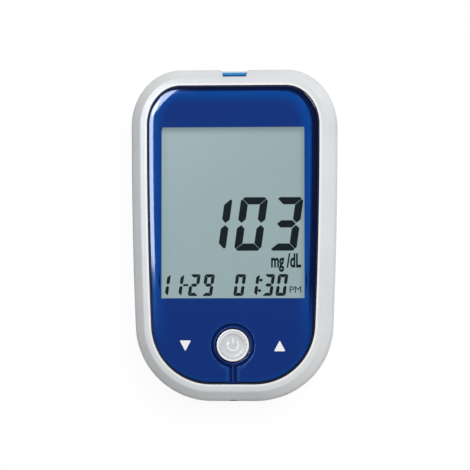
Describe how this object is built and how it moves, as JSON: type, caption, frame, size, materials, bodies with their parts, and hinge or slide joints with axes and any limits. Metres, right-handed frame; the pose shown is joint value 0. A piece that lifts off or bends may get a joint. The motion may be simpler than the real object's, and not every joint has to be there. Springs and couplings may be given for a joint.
{
  "type": "blood glucose meter",
  "caption": "Hand-held blood glucose meter with a segment display, a round power button, flexing arrow keys, a test strip slot and a hinged battery door.",
  "frame": {"origin": "middle of the case, on the back face that it rests on", "axes": "+X to the right of the display, +Y towards the test strip slot, +Z out of the display"},
  "size_m": [0.0596, 0.096, 0.024],
  "materials": {
    "silver_plastic": "satin silver-white",
    "blue_panel": "deep blue gloss",
    "dark_blue": "dark blue gloss",
    "port_blue": "mid blue gloss",
    "clear_pane": "clear",
    "display_glass": "grey-green display, matte",
    "white_plastic": "matte",
    "black_plastic": "matte",
    "black_foam": "matte",
    "board_green": "solder mask",
    "nickel": "bright nickel",
    "steel": "plain steel",
    "gold": "gold flash",
    "cell_wrap": "printed film, plain",
    "label_film": "blank label"
  },
  "bodies": {
    "case": {"rear_housing": "silver_plastic", "front_housing": "silver_plastic", "face_panel": "blue_panel", "display_window": "clear_pane", "button_surround": "dark_blue", "power_dome": "steel", "down_dome": "steel", "up_dome": "steel", "display_gasket": "black_foam", "display_cell": "display_glass", "light_guide": "white_plastic", "display_frame": "white_plastic", "contact_strip": "black_foam", "display_lamp_left": "white_plastic", "display_lamp_right": "white_plastic", "circuit_board": "board_green", "microcontroller": "black_plastic", "memory_chip": "black_plastic", "crystal": "steel", "buzzer": "black_plastic", "strip_port": "port_blue", "strip_connector": "black_plastic", "strip_finger_1": "gold", "strip_finger_2": "gold", "strip_finger_3": "gold", "strip_finger_4": "gold", "data_jack": "black_plastic", "battery_cell_left": "cell_wrap", "battery_cell_right": "cell_wrap", "contact_bridge": "nickel", "contact_positive": "nickel", "contact_negative": "nickel", "spring_key_end": "nickel", "spring_strip_end": "nickel", "case_screw_top_left": "steel", "case_screw_top_right": "steel", "case_screw_key_left": "steel", "case_screw_key_right": "steel"},
    "power_button": {"power_button": "silver_plastic"},
    "down_key": {"down_key": "blue_panel"},
    "up_key": {"up_key": "blue_panel"},
    "battery_door": {"battery_door": "silver_plastic", "door_latch": "silver_plastic", "door_label": "label_film"}
  },
  "joints": [
    {"name": "power_button_press", "type": "slide", "parent": "case", "child": "power_button", "axis": [0, 0, -1], "range_m": [0, 0.0005], "stiffness_N_per_m": 1500, "deforming": ["power_dome"]},
    {"name": "down_key_press", "type": "hinge", "parent": "case", "child": "down_key", "pos_m": [0, -0.0255, 0.0223], "axis": [1, 0, 0], "range_deg": [0, 2.5], "stiffness_Nm_per_rad": 0.3, "deforming": ["down_dome"]},
    {"name": "up_key_press", "type": "hinge", "parent": "case", "child": "up_key", "pos_m": [0, -0.0255, 0.0223], "axis": [1, 0, 0], "range_deg": [0, 2.5], "stiffness_Nm_per_rad": 0.3, "deforming": ["up_dome"]},
    {"name": "battery_door_swing", "type": "hinge", "parent": "case", "child": "battery_door", "pos_m": [0, -0.03955, 0.0003], "axis": [-1, 0, 0], "range_deg": [0, 55], "deforming": ["door_latch"]}
  ]
}
